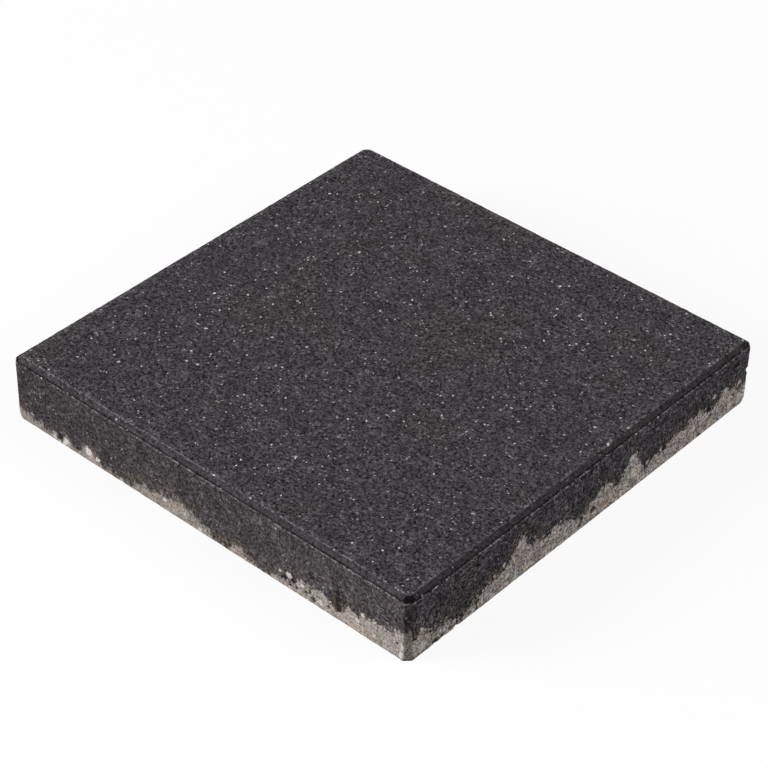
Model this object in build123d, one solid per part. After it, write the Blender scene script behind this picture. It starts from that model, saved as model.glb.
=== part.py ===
from build123d import *
import os
from math import atan2, degrees, sqrt

# A square concrete paving slab, pressed in one piece in a steel mould.
# It lies flat: z = 0 is the bed face, +Z points up out of the walking face, the origin is at the
# middle of the bed face, and X and Y run along the sides.

# Driving dimensions, in millimetres
SLAB_SIDE = 350.0        # side face to side face
SLAB_THICKNESS = 50.0    # bed face to walking face
CORNER_CUT = 4.0         # leg of the flat across each upright corner
CHAMFER_WIDTH = 3.4      # run of the chamfer round the walking face, in plan
CHAMFER_DEPTH = 3.4      # drop of the chamfer, from the walking face to the ledge
LEDGE_WIDTH = 1.4        # flat ledge between the chamfer and the side face, in plan

# Sizes that follow from them, with the taper in degrees from the upright
LEDGE_HEIGHT = SLAB_THICKNESS - CHAMFER_DEPTH
CHAMFER_TAPER = degrees(atan2(CHAMFER_WIDTH, CHAMFER_DEPTH))
CORNER_ACROSS = sqrt(2) * (SLAB_SIDE - CORNER_CUT)


def pressed_block(across):
    """Square block standing on z = 0, with the ledge and the chamfer round its top."""
    body = Box(across, across, LEDGE_HEIGHT, align=(Align.CENTER, Align.CENTER, Align.MIN))
    field = across - 2 * LEDGE_WIDTH
    field_outline = Plane.XY.offset(LEDGE_HEIGHT) * Rectangle(field, field)
    return body + extrude(field_outline, CHAMFER_DEPTH, taper=CHAMFER_TAPER)


def paving_slab():
    """The slab: a square block whose corners are cut by a like block turned by 45 degrees."""
    square = pressed_block(SLAB_SIDE)
    corner_flats = Rot(0, 0, 45) * pressed_block(CORNER_ACROSS)
    return square & corner_flats


os.makedirs("parts", exist_ok=True)
export_step(paving_slab(), "parts/paving_slab.step")
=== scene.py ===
import math
import random

import bmesh
import bpy
import numpy as np
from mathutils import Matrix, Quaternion, Vector, noise
from mathutils.kdtree import KDTree


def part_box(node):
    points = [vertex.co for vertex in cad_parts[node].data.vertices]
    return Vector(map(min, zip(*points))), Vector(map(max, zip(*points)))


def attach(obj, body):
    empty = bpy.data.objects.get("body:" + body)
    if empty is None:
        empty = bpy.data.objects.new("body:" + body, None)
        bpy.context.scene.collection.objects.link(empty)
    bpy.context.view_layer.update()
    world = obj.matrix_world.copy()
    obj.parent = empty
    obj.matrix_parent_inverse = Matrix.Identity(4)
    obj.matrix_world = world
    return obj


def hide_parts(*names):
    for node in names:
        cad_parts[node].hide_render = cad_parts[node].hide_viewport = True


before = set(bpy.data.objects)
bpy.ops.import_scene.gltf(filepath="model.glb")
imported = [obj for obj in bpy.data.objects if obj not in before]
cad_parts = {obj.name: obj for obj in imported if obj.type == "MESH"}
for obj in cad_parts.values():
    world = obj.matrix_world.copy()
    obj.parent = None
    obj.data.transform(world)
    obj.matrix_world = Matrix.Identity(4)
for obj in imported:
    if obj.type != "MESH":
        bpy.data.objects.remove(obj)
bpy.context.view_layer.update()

# The slab
# One square casting of concrete: a dark facing mix over a plain grey backing mix, both filled
# damp into a steel mould and pressed from above into one piece. The press plate leaves the
# chamfer and the ledge round the walking face, and the mould wall drags the sides on the way out.
MM = 0.001
CORNER_CUT = 4.0 * MM
CHAMFER_WIDTH = 3.4 * MM
LEDGE_WIDTH = 1.4 * MM
_, high_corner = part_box("paving_slab")
HALF_SIDE = high_corner.x
THICKNESS = high_corner.z
EDGE_WIDTH = CHAMFER_WIDTH + LEDGE_WIDTH
FIELD_HALF = HALF_SIDE - EDGE_WIDTH
CUT_GROWTH = 2 - math.sqrt(2)
FIELD_CUT = CORNER_CUT - EDGE_WIDTH * CUT_GROWTH
FIELD_STRAIGHT = FIELD_HALF - FIELD_CUT
ROUNDING = 0.01 * MM
SIDE_END = HALF_SIDE - CORNER_CUT + ROUNDING

# Cells of the mesh: across the walking face between its corner cuts, in each cut, down a side, and
# across the middle of the bed
FIELD_CELLS = 224
CORNER_CELLS = 3
ALL_CELLS = FIELD_CELLS + 2 * CORNER_CELLS
SIDE_ROWS = 30
BED_CELLS = 52
BED_GRID_HALF = 166.0 * MM

# Section of the pressed edge: how far out of the field and how far below the walking face, in mm
EDGE_SECTION = [(0.3, 0.15), (1.0, 0.9), (1.9, 1.85), (2.7, 2.7), (3.2, 3.55), (3.65, 3.65),
                (4.1, 3.2), (4.5, 3.15), (4.8, 3.5)]

# Section of the foot: how far out of the field and how far above the bed face, in mm
BED_ARRIS = [(4.78, 0.25), (4.6, 0.05), (4.2, 0.0)]

# Height of the line where the two mixes meet, in mm: along each side from its left end to its
# right end as seen from outside
FRONT_LINE = [(-175, 9), (-165, 8), (-158, 7), (-152, 5), (-140, 5), (-135, 6), (-131, 2),
              (-127, 7), (-122, 6), (-117, 4), (-112, 5), (-109, 10), (-105, 11), (-99, 8),
              (-95, 6), (-91, 2), (-80, 2), (-70, 1), (-64, 3), (-60, 6), (-52, 9), (-42, 9),
              (-34, 12), (-20, 13), (-10, 12), (-4, 10), (0, 8), (8, 3), (13, 1), (24, 0),
              (27, 7), (31, 10), (36, 8), (40, 3), (48, 1), (60, 1), (68, 6), (76, 4), (81, 7),
              (85, 12), (90, 11), (97, 13), (105, 16), (109, 11), (114, 9), (118, 6), (122, 9),
              (126, 17), (131, 13), (136, 15), (139, 18), (142, 15), (148, 18), (158, 18),
              (165, 20), (175, 23)]
RIGHT_LINE = [(-175, 23), (-170, 17), (-167, 15), (-163, 22), (-158, 15), (-153, 9), (-150, 11),
              (-140, 10), (-132, 7), (-128, 4), (-122, 6), (-117, 9), (-112, 9), (-105, 14),
              (-92, 16), (-82, 18), (-76, 26), (-71, 33), (-67, 32), (-63, 23), (-58, 19),
              (-53, 20), (-43, 15), (-37, 21), (-30, 18), (-25, 19), (-18, 14), (-10, 9),
              (-8, 6), (-4, 10), (1, 15), (6, 16), (10, 21), (18, 22), (27, 14), (34, 17),
              (40, 25), (44, 32), (50, 26), (54, 17), (59, 7), (65, 12), (72, 15), (80, 11),
              (88, 18), (96, 18), (101, 16), (108, 22), (117, 21), (126, 16), (135, 15),
              (143, 22), (149, 23), (154, 20), (159, 21), (163, 14), (175, 15)]
BACK_LINE = [(-175, 15), (-168, 19), (-161, 23), (-154, 16), (-146, 14), (-138, 18), (-131, 15),
             (-126, 24), (-120, 28), (-114, 21), (-108, 10), (-99, 12), (-90, 9), (-82, 15),
             (-76, 14), (-68, 21), (-60, 25), (-55, 17), (-48, 12), (-41, 6), (-33, 8),
             (-26, 14), (-18, 11), (-9, 13), (-2, 20), (5, 21), (11, 13), (17, 6), (24, 7),
             (33, 12), (41, 9), (48, 15), (55, 18), (61, 27), (67, 26), (73, 16), (83, 18),
             (92, 12), (101, 13), (110, 8), (118, 15), (124, 20), (131, 17), (140, 18),
             (147, 11), (155, 12), (164, 16), (175, 18)]
LEFT_LINE = [(-175, 18), (-166, 13), (-158, 11), (-149, 16), (-141, 14), (-133, 22), (-126, 20),
             (-119, 13), (-110, 15), (-101, 7), (-92, 4), (-84, 8), (-75, 6), (-66, 11),
             (-58, 10), (-51, 19), (-44, 24), (-38, 16), (-30, 12), (-22, 15), (-13, 13),
             (-4, 19), (3, 17), (10, 10), (19, 8), (27, 9), (36, 3), (46, 2), (55, 6), (64, 12),
             (72, 10), (81, 16), (90, 19), (97, 18), (104, 9), (114, 7), (123, 11), (131, 10),
             (139, 15), (147, 12), (155, 6), (164, 8), (175, 10)]

# Marks on the two sides in view, in mm: place along the side, height and radius. Pale stones show
# at the mould wall, and dark blots are hollows and crusts of the dark mix, painted darker than either
# mix as the shade in the hollows
FRONT_STONES = [(-125.5, 4.5, 2.8), (-104, 8, 3.0), (-95, 6, 2.0), (69, 11, 1.3),
                (76.5, 11, 2.6), (88, 9.5, 1.5), (103, 5, 1.8), (138, 17, 1.6), (169.6, 4, 2.6),
                (170.6, 11, 2.0)]
RIGHT_STONES = [(-162, 6.5, 3.6), (-162.5, 19.5, 1.6), (-86, 21, 2.0), (-82, 10, 2.3),
                (-60, 5, 2.2), (43, 28, 2.4), (51.5, 16, 2.2), (61, 13, 1.8), (133.5, 25.5, 1.9),
                (144, 2, 2.4), (147, 23, 2.2), (154, 6, 2.8), (163, 21, 2.0), (164, 8, 2.6)]
FRONT_BLOTS = [(-131, 5, 3.0), (-114, 5, 2.6), (73, 7.5, 2.8), (78, 4, 1.5), (80, 8.5, 1.8),
               (83, 4.5, 1.5), (91, 5.5, 1.4), (94.5, 8.5, 1.5), (97, 3.8, 2.2), (100, 8.5, 1.2),
               (110, 6, 1.5), (117.5, 27, 1.8), (118, 22, 2.4), (118, 17, 2.6), (118, 12, 2.4),
               (118.5, 8, 2.0), (124, 20, 1.5), (166, 12, 1.3)]
RIGHT_BLOTS = [(-150, 2, 2.6), (-143, 1.5, 2.0), (-136, 3, 1.8), (-130, 3, 1.8),
               (-125.5, 4, 2.6), (-118, 3, 1.4), (-111, 7, 2.4), (-111, 2, 1.6), (-73, 20, 1.4),
               (-42, 18, 2.2), (-29, 13, 1.5), (-9, 4, 2.0), (4, 9, 2.8), (58.5, 14, 2.0),
               (59.5, 9, 1.6), (80, 13, 1.6), (119, 2, 1.9), (128, 19, 2.4), (131, 11, 1.8),
               (140, 7, 1.4), (150, 9, 1.3), (157, 14, 1.6)]
NO_MARK = -1.0

# On the front the mixes smear into each other, most of all at its left end. Along the front the
# facing is painted darker at its left end as shade and lighter at its right end as light. The grain
# stands out less there than on the other sides, and least on the chamfer
SMEAR_PLACES = (-150 * MM, 100 * MM)
SMEAR_SHARES = (1.0, 0.4)
OTHER_SMEAR = 0.15
PAINTED_LIGHT_PLACES = (-160 * MM, 170 * MM)
PAINTED_LIGHT_SHARES = (0.72, 1.08)
FRONT_CONTRAST = 0.98
OTHER_CONTRAST = 1.52
CHAMFER_CONTRAST = 0.6
LIP_START = 5.4 * MM


def field_line(share):
    """Place of a grid line across the walking face, with small cells beside the corner cuts."""
    step = round(abs(share) * ALL_CELLS / 2)
    from_middle = min(step, FIELD_CELLS // 2) * FIELD_STRAIGHT / (FIELD_CELLS // 2)
    in_corner = max(step - FIELD_CELLS // 2, 0) * FIELD_CUT / CORNER_CELLS
    return math.copysign(from_middle + in_corner, share)


def cut_corner(place):
    """Move a point of the square field inside the cut across its corner."""
    reach = max(FIELD_HALF - abs(place.x), FIELD_HALF - abs(place.y))
    if reach < FIELD_CUT:
        shift = (FIELD_CUT - reach) / 2
        place.x -= math.copysign(shift, place.x)
        place.y -= math.copysign(shift, place.y)


def grown(along, outward):
    """Coordinate of an outline point after the outline has grown outward from the field."""
    cut = FIELD_CUT + outward * CUT_GROWTH
    straight = FIELD_HALF + outward - cut
    if abs(along) <= FIELD_STRAIGHT:
        reach = abs(along) * straight / FIELD_STRAIGHT
    else:
        reach = straight + (abs(along) - FIELD_STRAIGHT) * cut / FIELD_CUT
    return math.copysign(reach, along)


def line_height(points, along):
    """Height of the line between the mixes on one side."""
    return MM * float(np.interp(along / MM, *zip(*points)))


def mix_height(place):
    """Height of the line between the mixes at a point of a side, carried round the corner flats."""
    if abs(place.x) <= SIDE_END:
        return line_height(FRONT_LINE, place.x) if place.y < 0 else line_height(BACK_LINE, -place.x)
    if abs(place.y) <= SIDE_END:
        return line_height(RIGHT_LINE, place.y) if place.x > 0 else line_height(LEFT_LINE, -place.y)
    if place.x > 0:
        points = FRONT_LINE if place.y < 0 else RIGHT_LINE
    else:
        points = LEFT_LINE if place.y < 0 else BACK_LINE
    return MM * points[-1][1]


def mark_depth(place, front_marks, right_marks):
    """How far a point of a side lies inside the nearest mark: 1 at its middle, 0 at its rim."""
    across, along, height = place / MM
    depth = NO_MARK
    if place.y < -HALF_SIDE + CORNER_CUT:
        depths = [1 - math.hypot(across - x, height - z) / radius for x, z, radius in front_marks]
        depth = max(depth, *depths)
    if place.x > HALF_SIDE - CORNER_CUT:
        depths = [1 - math.hypot(along - y, height - z) / radius for y, z, radius in right_marks]
        depth = max(depth, *depths)
    return depth


def ripple(place, size, seed):
    """Smooth random height between about -1 and 1, with bumps of the given size."""
    return noise.noise(place / size + Vector((seed, 2 * seed, -seed)))


slab_bm = bmesh.new()
field_place = slab_bm.verts.layers.float_vector.new("field_place")
edge_run = slab_bm.verts.layers.float.new("edge_run")
mix_line = slab_bm.verts.layers.float.new("mix_line")
mix_smear = slab_bm.verts.layers.float.new("mix_smear")
side_shade_and_light = slab_bm.verts.layers.float.new("side_shade_and_light")
side_grain = slab_bm.verts.layers.float.new("side_grain")
stone_depth = slab_bm.verts.layers.float.new("stone_depth")
blot_depth = slab_bm.verts.layers.float.new("blot_depth")


def leave_plain(vert):
    """Give a point of the walking face or the bed no painted light and shade, plain grain and no mark.
    """
    vert[side_shade_and_light] = 1.0
    vert[side_grain] = 1.0
    vert[stone_depth] = NO_MARK
    vert[blot_depth] = NO_MARK


# Walking face, then the edge and the sides drawn down from it ring by ring, then the bed face
bmesh.ops.create_grid(slab_bm, x_segments=ALL_CELLS, y_segments=ALL_CELLS, size=1.0)
for vert in slab_bm.verts:
    vert.co = Vector((field_line(vert.co.x), field_line(vert.co.y), THICKNESS))
    cut_corner(vert.co)
    vert[field_place] = vert.co
    inside_cut = (2 * FIELD_HALF - FIELD_CUT - abs(vert.co.x) - abs(vert.co.y)) / math.sqrt(2)
    vert[edge_run] = -min(FIELD_HALF - abs(vert.co.x), FIELD_HALF - abs(vert.co.y), inside_cut)
    vert[mix_line] = THICKNESS / 2
    leave_plain(vert)

side_top = THICKNESS - EDGE_SECTION[-1][1] * MM
side_foot = BED_ARRIS[0][1] * MM
rings = [(outward * MM, THICKNESS - drop * MM) for outward, drop in EDGE_SECTION]
for row in range(1, SIDE_ROWS + 1):
    rings.append((EDGE_WIDTH, side_top + (side_foot - side_top) * row / (SIDE_ROWS + 1)))
rings += [(outward * MM, height * MM) for outward, height in BED_ARRIS]

rim = [edge for edge in slab_bm.edges if edge.is_boundary]
run, last_outward, last_height = 0.0, 0.0, THICKNESS
for outward, height in rings:
    run += math.hypot(outward - last_outward, height - last_height)
    last_outward, last_height = outward, height
    drawn = bmesh.ops.extrude_edge_only(slab_bm, edges=rim)["geom"]
    rim = [item for item in drawn if isinstance(item, bmesh.types.BMEdge) and item.is_boundary]
    for vert in (item for item in drawn if isinstance(item, bmesh.types.BMVert)):
        start = vert[field_place]
        vert.co = Vector((grown(start.x, outward), grown(start.y, outward), height))
        vert[edge_run] = run
        vert[mix_line] = height - mix_height(vert.co)
        on_front = start.y < -FIELD_STRAIGHT
        vert[mix_smear] = OTHER_SMEAR
        vert[side_shade_and_light] = 1.0
        vert[side_grain] = CHAMFER_CONTRAST
        if run > LIP_START:
            vert[side_grain] = FRONT_CONTRAST if on_front else OTHER_CONTRAST
        if on_front:
            vert[mix_smear] = float(np.interp(start.x, SMEAR_PLACES, SMEAR_SHARES))
        # Painted shade and light along the front: darker at its left end, lighter at its right end
        if on_front and run > LIP_START:
            vert[side_shade_and_light] = float(np.interp(start.x, PAINTED_LIGHT_PLACES, PAINTED_LIGHT_SHARES))
        vert[stone_depth] = mark_depth(vert.co, FRONT_STONES, RIGHT_STONES)
        vert[blot_depth] = mark_depth(vert.co, FRONT_BLOTS, RIGHT_BLOTS)

# The bed is held up inside the slab while it is bridged to the foot, so that no face crosses it
bed_grid = bmesh.ops.create_grid(slab_bm, x_segments=BED_CELLS, y_segments=BED_CELLS,
                                 size=BED_GRID_HALF)
bed = set(bed_grid["verts"])
for vert in bed:
    vert.co.z = THICKNESS / 2
    vert[edge_run] = run
    vert[mix_line] = -THICKNESS / 2
    leave_plain(vert)
foot_rim = set(rim)
bed_rim = [edge for edge in slab_bm.edges if edge.is_boundary and edge not in foot_rim]
bmesh.ops.bridge_loops(slab_bm, edges=rim + bed_rim)
for vert in bed:
    vert.co.z = 0.0
bmesh.ops.recalc_face_normals(slab_bm, faces=slab_bm.faces)
slab_bm.normal_update()

# Relief that the press and the mould leave: grain, worn arrises, a broken lip and a worn foot. Depths
# first, then the sizes of the bumps, then where along the edge each kind of wear lies
GRAIN_DEPTH = 0.13 * MM
SWELL_DEPTH = 0.10 * MM
BED_DEPTH = 0.2 * MM
ARRIS_WEAR = 0.5 * MM
LIP_WEAR = 0.42 * MM
FOOT_WEAR = 0.45 * MM
BLOT_SINK = 0.6 * MM
GRAIN_SIZE = 3.2 * MM
LUMP_SIZE = 7.5 * MM
SWELL_SIZE = 34 * MM
DRAG_SIZE = 2.6 * MM
DRAG_STRETCH = 0.25
BED_PIT_SIZE = 9 * MM
BED_DIP_SIZE = 31 * MM
ARRIS_BREAK_SIZE = 3.6 * MM
LIP_BREAK_SIZE = 4.4 * MM
FOOT_BREAK_SIZE = 5.5 * MM
ARRIS_RUN = 0.1 * MM
ARRIS_REACH = 1.3 * MM
LIP_RUN = 6.0 * MM
LIP_REACH = 0.9 * MM
FOOT_REACH = 2.2 * MM
SIDE_RUN = 6.6 * MM
CALM_RUNS = (-3 * MM, 0.0, 3.5 * MM, 6.0 * MM)
CALM_SHARES = (1.0, 0.7, 0.5, 1.2)


def closeness(value, middle, reach):
    """1 at a middle, falling evenly to 0 at a reach from it."""
    return max(0.0, 1 - abs(value - middle) / reach)


for vert in slab_bm.verts:
    place = vert.co.copy()
    run = vert[edge_run]
    if vert in bed:
        vert.co.z += BED_DEPTH * abs(ripple(place, BED_PIT_SIZE, 3.1))
        vert.co.z += BED_DEPTH * abs(ripple(place, BED_DIP_SIZE, 4.7))
        continue
    grain = ripple(place, GRAIN_SIZE, 1.3) + 0.6 * ripple(place, LUMP_SIZE, 5.9)
    swell = SWELL_DEPTH * ripple(place, SWELL_SIZE, 8.3)
    if run < SIDE_RUN:
        calm = float(np.interp(run, CALM_RUNS, CALM_SHARES))
        vert.co += vert.normal * (GRAIN_DEPTH * calm * grain + swell)
        arris_break = max(0.0, ripple(place, ARRIS_BREAK_SIZE, 2.2) - 0.15)
        vert.co.z -= ARRIS_WEAR * closeness(run, ARRIS_RUN, ARRIS_REACH) * arris_break
        lip_break = max(0.0, ripple(place, LIP_BREAK_SIZE, 6.4) + 0.1)
        vert.co.z -= LIP_WEAR * closeness(run, LIP_RUN, LIP_REACH) * lip_break
        continue
    drag = ripple(Vector((place.x, place.y, place.z * DRAG_STRETCH)), DRAG_SIZE, 7.7)
    relief = GRAIN_DEPTH * (0.9 * grain + 0.7 * drag) + swell
    foot_break = max(0.0, ripple(place, FOOT_BREAK_SIZE, 9.1) - 0.1)
    relief -= FOOT_WEAR * closeness(place.z, 0.0, FOOT_REACH) * foot_break
    relief -= BLOT_SINK * min(1.0, max(0.0, 2 * vert[blot_depth]))
    vert.co += Vector((vert.normal.x, vert.normal.y, 0.0)).normalized() * relief

# Small hollows where grains have come away, with the ranges of their radius and depth in mm, and a
# few chips on the corners and arrises: place, radius and depth in mm
TOP_HOLLOWS = 420
TOP_RADII = (1.6, 3.0)
TOP_DEPTHS = (0.15, 0.45)
SIDE_HOLLOWS = 360
SIDE_RADII = (1.6, 2.8)
SIDE_DEPTHS = (0.15, 0.4)
SIDE_HEIGHTS = (0.06, 0.92)
CHIPS = [((174.6, 171.4, 27.5), 2.4, 1.5), ((173.0, 173.0, 27.5), 2.4, 1.5),
         ((171.4, 174.6, 27.5), 2.4, 1.5), ((174.0, 172.0, 0.0), 3.6, 1.0),
         ((175.0, -130.0, 0.0), 2.0, 1.0), ((-3.0, -174.6, 48.0), 2.4, 0.8),
         ((171.0, -171.0, 48.6), 4.0, 0.7), ((-172.0, -173.0, 1.0), 4.0, 0.9)]
hollows = random.Random(41)
slab_tree = KDTree(len(slab_bm.verts))
slab_bm.verts.ensure_lookup_table()
for vert in slab_bm.verts:
    slab_tree.insert(vert.co, vert.index)
slab_tree.balance()


def sink(centre, radius, depth):
    """Press a shallow bowl round a point, square to the surface at its middle."""
    _, middle, _ = slab_tree.find(centre)
    inward = -slab_bm.verts[middle].normal
    for _, index, distance in slab_tree.find_range(centre, radius):
        slab_bm.verts[index].co += inward * depth * (1 - (distance / radius) ** 2)


for _ in range(TOP_HOLLOWS):
    across = hollows.uniform(-1, 1) * FIELD_HALF
    along = hollows.uniform(-1, 1) * FIELD_HALF
    spot = Vector((across, along, THICKNESS))
    sink(spot, hollows.uniform(*TOP_RADII) * MM, hollows.uniform(*TOP_DEPTHS) * MM)
for _ in range(SIDE_HOLLOWS):
    along = hollows.uniform(-1, 1) * (HALF_SIDE - CORNER_CUT)
    height = hollows.uniform(*SIDE_HEIGHTS) * THICKNESS
    spot = hollows.choice([Vector((along, -HALF_SIDE, height)), Vector((HALF_SIDE, along, height)),
                           Vector((along, HALF_SIDE, height)), Vector((-HALF_SIDE, along, height))])
    sink(spot, hollows.uniform(*SIDE_RADII) * MM, hollows.uniform(*SIDE_DEPTHS) * MM)
for centre, radius, depth in CHIPS:
    sink(Vector(centre) * MM, radius * MM, depth * MM)

slab_mesh = bpy.data.meshes.new("slab")
slab_bm.to_mesh(slab_mesh)
slab_bm.free()
slab_mesh.shade_smooth()
slab = bpy.data.objects.new("slab", slab_mesh)
bpy.context.scene.collection.objects.link(slab)

# Concrete: grains, pale sand specks and pinholes painted dark as their shade in the dark mix, and a
# ragged change to the grey mix
MATT = 0.95
SHINE = 0.04
concrete = bpy.data.materials.new("concrete")
concrete.use_nodes = True
nodes, links = concrete.node_tree.nodes, concrete.node_tree.links
surface = nodes["Principled BSDF"]
surface.inputs["Roughness"].default_value = MATT
surface.inputs["Specular IOR Level"].default_value = SHINE


def add_node(kind, inputs, **settings):
    """Add a node to the node tree in hand, set its options, and set or link its inputs."""
    made = nodes.new(kind)
    for name, value in settings.items():
        setattr(made, name, value)
    for name, value in inputs.items():
        if isinstance(value, bpy.types.NodeSocket):
            links.new(value, made.inputs[name])
        else:
            made.inputs[name].default_value = value
    return made


def work_out(operation, first, second=0.0):
    """One sum on two values."""
    return add_node("ShaderNodeMath", {0: first, 1: second}, operation=operation).outputs[0]


def fade(value, start, end, low=0.0, high=1.0):
    """Smooth change from low to high while a value goes from start to end."""
    inputs = {"Value": value, "From Min": start, "From Max": end, "To Min": low, "To Max": high}
    return add_node("ShaderNodeMapRange", inputs, interpolation_type="SMOOTHSTEP").outputs["Result"]


def coat(share, under, over):
    """One colour laid over another."""
    inputs = {"Factor": share, 6: under, 7: over}
    return add_node("ShaderNodeMix", inputs, data_type="RGBA").outputs[2]


def cloud(size, detail, place, roughness=0.55):
    """Soft random value with bumps of the given size."""
    inputs = {"Vector": place, "Scale": 1 / size, "Detail": detail, "Roughness": roughness}
    return add_node("ShaderNodeTexNoise", inputs).outputs["Fac"]


def grains(size, place):
    """Cells of the given size: distance from each middle, in cells, and a random number for each."""
    cell = add_node("ShaderNodeTexVoronoi", {"Vector": place, "Scale": 1 / size})
    number = add_node("ShaderNodeSeparateColor", {"Color": cell.outputs["Color"]})
    return cell.outputs["Distance"], number.outputs["Red"], number.outputs["Green"]


def shifted(place, offset, stretch=(1.0, 1.0, 1.0)):
    """The same place moved and stretched, so that two patterns don't coincide."""
    inputs = {"Vector": place, "Location": offset, "Scale": stretch}
    return add_node("ShaderNodeMapping", inputs).outputs["Vector"]


def painted(name):
    """A value kept at the points of the mesh."""
    return add_node("ShaderNodeAttribute", {}, attribute_name=name).outputs["Fac"]


def blended(first, second):
    """Two shares multiplied."""
    return work_out("MULTIPLY", first, second)


def near(value, middle, reach):
    """1 where a value is close to a middle, and 0 beyond a reach from it."""
    return fade(work_out("ABSOLUTE", work_out("SUBTRACT", value, middle)), reach, 0.25 * reach)


def shaded(colour, factor):
    """A colour made darker or lighter by a factor."""
    start = colour if isinstance(colour, bpy.types.NodeSocket) else colour[:3]
    inputs = {0: start, "Scale": factor}
    return add_node("ShaderNodeVectorMath", inputs, operation="SCALE").outputs["Vector"]


def warped(place, size, reach):
    """The same place pushed about at random by up to half a reach, to make round spots angular."""
    inputs = {"Vector": place, "Scale": 1 / size, "Detail": 1.0}
    push = add_node("ShaderNodeTexNoise", inputs).outputs["Color"]
    inputs = {0: push, 1: (0.5, 0.5, 0.5)}
    middle = add_node("ShaderNodeVectorMath", inputs, operation="SUBTRACT").outputs["Vector"]
    inputs = {0: middle, 1: (reach, reach, reach), 2: place}
    return add_node("ShaderNodeVectorMath", inputs, operation="MULTIPLY_ADD").outputs["Vector"]


SIDE_FADE = (5.8 * MM, 7.0 * MM)
FRONT_FADE = (-167.5 * MM, -168.5 * MM)
where = nodes.new("ShaderNodeTexCoord").outputs["Object"]
run = painted("edge_run")
above_line = painted("mix_line")
smear = painted("mix_smear")
contrast = painted("side_grain")
on_side = fade(run, *SIDE_FADE)
axes = add_node("ShaderNodeSeparateXYZ", {"Vector": where}).outputs
corner_reach = work_out("MINIMUM", axes["X"], work_out("ABSOLUTE", axes["Y"]))
by_front = fade(axes["Y"], *FRONT_FADE)

# Dark facing mix: grains, open hollows between them painted darker as their shade, and pale sand
# specks
FACING = (0.0564, 0.0515, 0.0561, 1.0)
FACING_WARM = (0.0569, 0.0525, 0.054, 1.0)
FACING_COOL = (0.056, 0.0508, 0.0574, 1.0)
FACING_FRONT = (0.0575, 0.0513, 0.0535, 1.0)
SAND_SPECK = (0.9, 0.89, 0.87, 1.0)
PATCH_SIZE = 60 * MM
DRIFT_SIZE = 13 * MM
OPEN_SIZE = 2.4 * MM
FINE_SIZE = 1.5 * MM
GRAIN_CELL = 2.0 * MM
SPECK_CELL = 2.0 * MM
CHIP_CELL = 8.0 * MM
SHAKE_SIZE = 1.3 * MM
SHAKE_REACH = 2.2 * MM
patches = cloud(PATCH_SIZE, 2.0, shifted(where, (0.3, 0.1, 0.2)))
facing = coat(fade(patches, 0.35, 0.5, 1.0, 0.0), FACING, FACING_COOL)
facing = coat(fade(patches, 0.55, 0.72), facing, FACING_WARM)
facing = coat(blended(on_side, by_front), facing, FACING_FRONT)
fine = cloud(FINE_SIZE, 2.0, where, 0.6)
hollow = fade(cloud(OPEN_SIZE, 2.0, shifted(where, (0.11, 0.23, 0.31)), 0.6), 0.46, 0.34)
_, grain_pick, _ = grains(GRAIN_CELL, where)
pale_grain = blended(work_out("POWER", grain_pick, 6.0), 1.3)
tone = work_out("ADD", fade(fine, 0.3, 0.7, 0.3, 1.7), pale_grain)
# Hollows painted darker as their shade, most of all on the walking face
tone = blended(tone, fade(hollow, 0.0, 1.0, 1.04, fade(on_side, 0.0, 1.0, 0.3, 0.5)))
drift = cloud(DRIFT_SIZE, 2.0, shifted(where, (0.7, 0.3, 0.6)))
tone = blended(tone, fade(drift, 0.3, 0.7, 0.85, 1.15))
shaken = warped(where, SHAKE_SIZE, SHAKE_REACH)
speck_reach, speck_pick, speck_size = grains(SPECK_CELL, shifted(shaken, (0.57, 0.41, 0.13)))
speck_radius = fade(work_out("POWER", speck_size, 2.0), 0.0, 1.0, 0.10, 0.36)
speck = fade(work_out("SUBTRACT", speck_radius, speck_reach), -0.03, 0.05)
speck = blended(speck, work_out("POWER", speck_pick, 5.5))
chip_reach, chip_pick, chip_size = grains(CHIP_CELL, shifted(shaken, (0.83, 0.29, 0.47)))
chip_radius = fade(chip_size, 0.0, 1.0, 0.06, 0.14)
chip = fade(work_out("SUBTRACT", chip_radius, chip_reach), -0.02, 0.02)
chip = blended(chip, fade(chip_pick, 0.8, 1.0, 0.0, 0.8))
speck = blended(work_out("MAXIMUM", speck, chip), fade(on_side, 0.0, 1.0, 1.0, 0.75))

# Bands round the walking face: pale margin, broken arris with a painted highlight, smooth chamfer,
# crevice painted dark as shade, broken lip with a painted highlight, and painted shade in the hollow
# on the right corners of the chamfer, darker on the front one. Fades are given by their two ends and
# bands by their middle and reach, all along the section of the edge but the fades at the corners and
# towards the back, which are places in plan
MARGIN_FADE = (-4.5 * MM, -1.0 * MM)
CHAMFER_FADE = (0.4 * MM, 1.0 * MM)
LIP_FADE = (5.6 * MM, 6.4 * MM)
ARRIS_HIGHLIGHT_BAND = (0.1 * MM, 0.9 * MM)
CHAMFER_BAND = (2.6 * MM, 2.6 * MM)
CORNER_SHADE_BAND = (2.6 * MM, 3.6 * MM)
CREVICE_BAND = (4.9 * MM, 1.0 * MM)
LIP_HIGHLIGHT_BAND = (6.4 * MM, 1.3 * MM)
CORNER_FADE = (166.6 * MM, 168.6 * MM)
BACK_FADE = (-10 * MM, 10 * MM)
BREAK_SIZE = 2.6 * MM
broken = fade(cloud(BREAK_SIZE, 2.0, shifted(where, (0.2, 0.7, 0.4))), 0.42, 0.6)
band = blended(fade(run, *MARGIN_FADE, 1.0, 1.2), fade(run, *CHAMFER_FADE, 1.0, 0.70))
band = blended(band, fade(run, *LIP_FADE, 1.0, 1.19))
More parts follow.
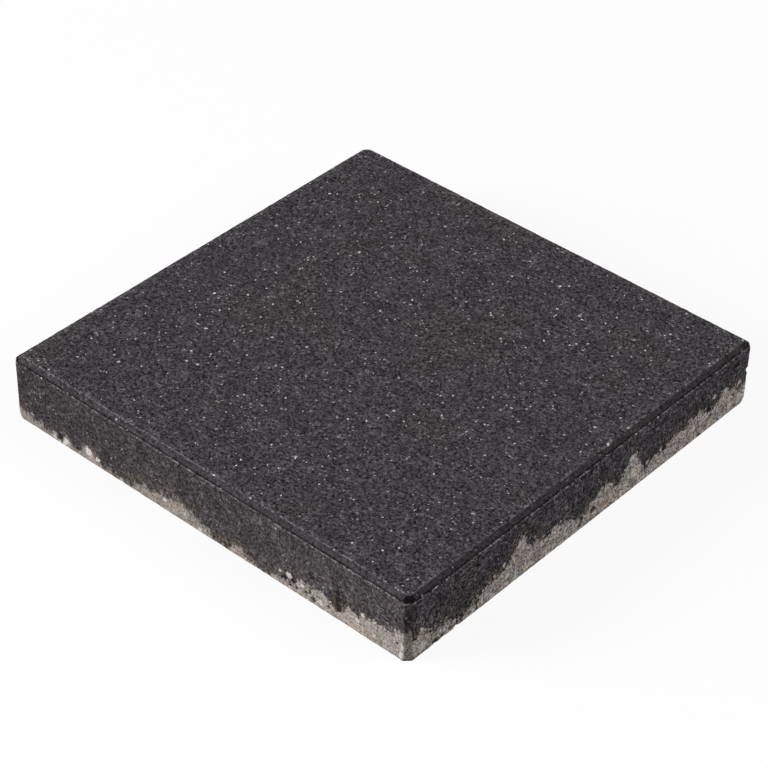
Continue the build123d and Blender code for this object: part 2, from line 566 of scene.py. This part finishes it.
# Painted highlight along the arris, stronger on the front, which faces the key lamp
arris_highlight = blended(fade(broken, 0.0, 1.0, 0.35, 1.0), fade(by_front, 0.0, 1.0, 0.6, 1.05))
band = work_out("ADD", band, blended(near(run, *ARRIS_HIGHLIGHT_BAND), arris_highlight))
# Painted highlight along the lip
lip_highlight = blended(near(run, *LIP_HIGHLIGHT_BAND), fade(broken, 0.0, 1.0, 0.4, 1.3))
band = work_out("ADD", band, lip_highlight)
# Painted shade in the crevice between the chamfer and the lip, lighter on the front
crevice_shade = fade(by_front, 0.0, 1.0, 0.47, 0.62)
band = blended(band, fade(near(run, *CREVICE_BAND), 0.0, 1.0, 1.0, crevice_shade))
# Painted shade in the hollow at the right corners of the chamfer, weaker at the back one
corner_shade = blended(fade(corner_reach, *CORNER_FADE), near(run, *CORNER_SHADE_BAND))
corner_shade = blended(corner_shade, fade(axes["Y"], *BACK_FADE, 1.0, 0.45))
band = blended(band, fade(corner_shade, 0.0, 1.0, 1.0, 0.18))
tone = work_out("POWER", tone, contrast)
on_chamfer = near(run, *CHAMFER_BAND)
speck = blended(speck, fade(on_chamfer, 0.0, 1.0, 1.0, 0.45))
# The facing's factor carries the painted highlights and shade of the bands and the painted light and
# shade along the front
facing_shade = blended(blended(tone, band), painted("side_shade_and_light"))
facing = coat(speck, shaded(facing, facing_shade), SAND_SPECK)

# Brown stain that the wet backing leaves in the dark mix above the line
STAIN = (0.075, 0.062, 0.05, 1.0)
STAIN_SIZE = 16 * MM
STAIN_FADE = (14 * MM, 2 * MM)
stained = cloud(STAIN_SIZE, 2.0, shifted(where, (0.5, 0.9, 0.1)))
stain = blended(fade(above_line, *STAIN_FADE), fade(stained, 0.41, 0.58))
facing = coat(blended(stain, 0.7), facing, shaded(STAIN, tone))

# Grey backing mix: sandy, with warm and greenish patches, pale stones and holes painted dark as their
# shade
BACKING = (0.405, 0.357, 0.33, 1.0)
BACKING_WARM = (0.45, 0.37, 0.315, 1.0)
BACKING_GREEN = (0.345, 0.33, 0.29, 1.0)
BACKING_DIRT = (0.13, 0.11, 0.10, 1.0)
HOLE_SHADE = (0.06, 0.053, 0.047, 1.0)
CRUST_AND_HOLLOW_SHADE = (0.016, 0.0135, 0.012, 1.0)
STONE = (0.66, 0.63, 0.59, 1.0)
SAND_SIZE = 1.7 * MM
BLOTCH_SIZE = 7.0 * MM
TINT_SIZE = 16 * MM
HOLE_SIZE = 1.8 * MM
PEBBLE_CELL = 4.5 * MM
sandy = cloud(SAND_SIZE, 3.0, shifted(where, (0.15, 0.35, 0.55)), 0.68)
blotchy = cloud(BLOTCH_SIZE, 2.0, shifted(where, (0.65, 0.25, 0.45)))
tint = cloud(TINT_SIZE, 2.0, shifted(where, (0.4, 0.2, 0.9)))
backing = coat(fade(tint, 0.52, 0.66, 0.0, 0.7), BACKING, BACKING_WARM)
backing = coat(fade(tint, 0.46, 0.32, 0.0, 0.8), backing, BACKING_GREEN)
sand_tone = blended(fade(sandy, 0.28, 0.72, 0.37, 1.63), fade(blotchy, 0.3, 0.7, 0.79, 1.21))
backing = shaded(backing, work_out("POWER", sand_tone, contrast))
backing = coat(fade(smear, 0.15, 0.65, 0.0, 0.46), backing, BACKING_DIRT)
pebble_reach, pebble_pick, _ = grains(PEBBLE_CELL, shifted(where, (0.91, 0.17, 0.53)))
pebble = blended(fade(pebble_reach, 0.42, 0.34), fade(pebble_pick, 0.86, 0.9))
# Holes in the grey mix, painted dark as their shade
hole = fade(cloud(HOLE_SIZE, 1.0, shifted(where, (0.21, 0.87, 0.73))), 0.36, 0.28)
backing = coat(blended(hole, 0.85), coat(blended(pebble, 0.7), backing, STONE), HOLE_SHADE)

# Ragged line between the mixes, and the marks that cross it
RAGGED_SIZE = 3.6 * MM
RAGGED_REACH = 3.2 * MM
FRAYED_SIZE = 1.7 * MM
FRAYED_REACH = 2.2 * MM
SHARP_BLUR = 0.6 * MM
SMEARED_BLUR = 3.0 * MM
PEPPER_FADE = (6.0 * MM, 2.0 * MM)
PEPPER_CELL = 2.3 * MM
PEPPER_SHAKE_SIZE = 1.1 * MM
PEPPER_SHAKE_REACH = 1.2 * MM
ragged = cloud(RAGGED_SIZE, 3.0, shifted(where, (0.0, 0.0, 0.0), (1.0, 1.0, 0.6)), 0.65)
frayed = cloud(FRAYED_SIZE, 1.0, shifted(where, (0.33, 0.77, 0.11)))
line = work_out("ADD", above_line, fade(ragged, 0.2, 0.8, -RAGGED_REACH, RAGGED_REACH))
line = work_out("ADD", line, fade(frayed, 0.2, 0.8, -FRAYED_REACH, FRAYED_REACH))
half_blur = fade(smear, 0.0, 1.0, SHARP_BLUR, SMEARED_BLUR)
facing_share = fade(work_out("DIVIDE", line, half_blur), -1.0, 1.0)
colour = coat(facing_share, backing, facing)
peppered = blended(fade(work_out("ABSOLUTE", line), *PEPPER_FADE), fade(tint, 0.36, 0.46))
peppered = blended(peppered, fade(by_front, 0.0, 1.0, 1.0, 0.25))
pepper_place = warped(shifted(where, (0.37, 0.59, 0.83)), PEPPER_SHAKE_SIZE, PEPPER_SHAKE_REACH)
loose_reach, loose_pick, pit_pick = grains(PEPPER_CELL, pepper_place)
loose = blended(peppered, fade(loose_reach, 0.5, 0.34))
colour = coat(blended(loose, fade(loose_pick, 0.68, 0.78, 0.0, 0.85)), colour, STONE)
# Dark pits near the line, painted as their shade
colour = coat(blended(loose, fade(pit_pick, 0.7, 0.8, 0.0, 0.85)), colour, CRUST_AND_HOLLOW_SHADE)
uneven = fade(frayed, 0.25, 0.75, -0.35, 0.35)
stone = fade(work_out("ADD", painted("stone_depth"), uneven), -0.15, 0.2)
colour = coat(blended(stone, 0.85), colour, shaded(STONE, fade(sandy, 0.3, 0.7, 0.68, 1.24)))
# Dark blots: crusts of the dark mix, painted darker as the shade in their hollows
blot = fade(work_out("ADD", painted("blot_depth"), uneven), -0.2, 0.3)
colour = coat(blended(blot, 0.85), colour, CRUST_AND_HOLLOW_SHADE)
links.new(colour, surface.inputs["Base Color"])

# Grain too fine for the mesh
BUMP_DEPTH = 0.75 * MM
BUMP_STRENGTH = 0.9
height = work_out("SUBTRACT", fine, blended(hollow, 0.8))
height = work_out("ADD", height, blended(grain_pick, 0.12))
rough_share = blended(fade(on_side, 0.0, 1.0, 1.0, 0.3), fade(facing_share, 0.0, 1.0, 0.6, 1.0))
rough_share = blended(rough_share, fade(on_chamfer, 0.0, 1.0, 1.0, 0.35))
height = blended(height, rough_share)
inputs = {"Height": height, "Distance": BUMP_DEPTH, "Strength": BUMP_STRENGTH}
bump = add_node("ShaderNodeBump", inputs)
links.new(bump.outputs["Normal"], surface.inputs["Normal"])

slab.data.materials.append(concrete)
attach(slab, "root")
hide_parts("paving_slab")

# The floor
# A plain pale sheet that the slab lies on. It is white to the eye, keeps a soft shadow, and is
# greyer to the light that it throws back, so that it doesn't brighten the slab's sides.
FLOOR_HALF = 4.0
FLOOR_WHITE_SHARE = 0.9
FLOOR_GREY = (0.15, 0.15, 0.15, 1.0)
WHITE = (1.0, 1.0, 1.0, 1.0)
floor_bm = bmesh.new()
bmesh.ops.create_grid(floor_bm, x_segments=1, y_segments=1, size=FLOOR_HALF)
floor_mesh = bpy.data.meshes.new("floor")
floor_bm.to_mesh(floor_mesh)
floor_bm.free()
floor = bpy.data.objects.new("floor", floor_mesh)
bpy.context.scene.collection.objects.link(floor)

sheet = bpy.data.materials.new("floor_sheet")
sheet.use_nodes = True
nodes, links = sheet.node_tree.nodes, sheet.node_tree.links
nodes.remove(nodes["Principled BSDF"])


def seen_by_eye():
    """1 for what the camera sees, straight, mirrored or through glass, and 0 for light on things."""
    rays = nodes.new("ShaderNodeLightPath").outputs
    seen = work_out("MAXIMUM", rays["Is Camera Ray"], rays["Is Glossy Ray"])
    return work_out("MAXIMUM", seen, rays["Is Transmission Ray"])


white_light = add_node("ShaderNodeEmission", {"Color": WHITE, "Strength": 1.0})
white_paint = add_node("ShaderNodeBsdfDiffuse", {"Color": WHITE})
grey_paint = add_node("ShaderNodeBsdfDiffuse", {"Color": FLOOR_GREY})
inputs = {0: FLOOR_WHITE_SHARE, 1: white_paint.outputs[0], 2: white_light.outputs[0]}
bright = add_node("ShaderNodeMixShader", inputs)
inputs = {0: seen_by_eye(), 1: grey_paint.outputs[0], 2: bright.outputs[0]}
sheet_mix = add_node("ShaderNodeMixShader", inputs)
links.new(sheet_mix.outputs[0], nodes["Material Output"].inputs["Surface"])
floor_mesh.materials.append(sheet)

# The light
# Two large soft lamps and a dim room: the key stands low at the left and rakes the walking face,
# and the fill stands at the right. One level of each lamp lights a white sheet facing it to white.
KEY_TOWARDS = (-0.63, -0.70, 0.335)
KEY_LEVEL = 1.46
FILL_TOWARDS = (0.72, 0.30, 0.62)
FILL_LEVEL = 0.53
ROOM_LEVEL = 0.13
LAMP_DISTANCE = 4.5
LAMP_FACE = 2.4


def soft_lamp(name, towards, level):
    """Square lamp aimed at the slab from a direction, at a level where 1 shows a colour as written."""
    lamp = bpy.data.lights.new(name, "AREA")
    lamp.size = LAMP_FACE
    lamp.energy = level * math.pi ** 2 * LAMP_DISTANCE ** 2
    holder = bpy.data.objects.new(name, lamp)
    holder.location = Vector(towards).normalized() * LAMP_DISTANCE
    holder.rotation_euler = Vector(towards).to_track_quat("Z", "Y").to_euler()
    bpy.context.scene.collection.objects.link(holder)


soft_lamp("key_lamp", KEY_TOWARDS, KEY_LEVEL)
soft_lamp("fill_lamp", FILL_TOWARDS, FILL_LEVEL)

room = bpy.data.worlds.new("room")
room.use_nodes = True
nodes, links = room.node_tree.nodes, room.node_tree.links
nodes["Background"].inputs["Color"].default_value = WHITE
links.new(fade(seen_by_eye(), 0.0, 1.0, ROOM_LEVEL, 1.0), nodes["Background"].inputs["Strength"])
bpy.context.scene.world = room

# The camera
# A long lens looking down across the front corner, as in the photograph. Its place, turn and lens
# are those that fit the slab's outline there best without a shift.
CAMERA_PLACE = (0.88906, -1.02674, 1.09559)
CAMERA_AZIMUTH = math.radians(40.916)
CAMERA_ELEVATION = math.radians(38.396)
CAMERA_ROLL = math.radians(1.308)
CAMERA_LENS = 120.88
SENSOR_WIDTH = 36.0
lens = bpy.data.cameras.new("camera")
lens.lens = CAMERA_LENS
lens.sensor_width = SENSOR_WIDTH
camera = bpy.data.objects.new("camera", lens)
camera.location = CAMERA_PLACE
sideways, backwards = math.sin(CAMERA_AZIMUTH), math.cos(CAMERA_AZIMUTH)
towards_camera = Vector((sideways, -backwards, math.tan(CAMERA_ELEVATION)))
turn = towards_camera.to_track_quat("Z", "Y") @ Quaternion((0.0, 0.0, 1.0), CAMERA_ROLL)
camera.rotation_euler = turn.to_euler()
bpy.context.scene.collection.objects.link(camera)
bpy.context.scene.camera = camera
bpy.context.scene.view_settings.view_transform = "Standard"
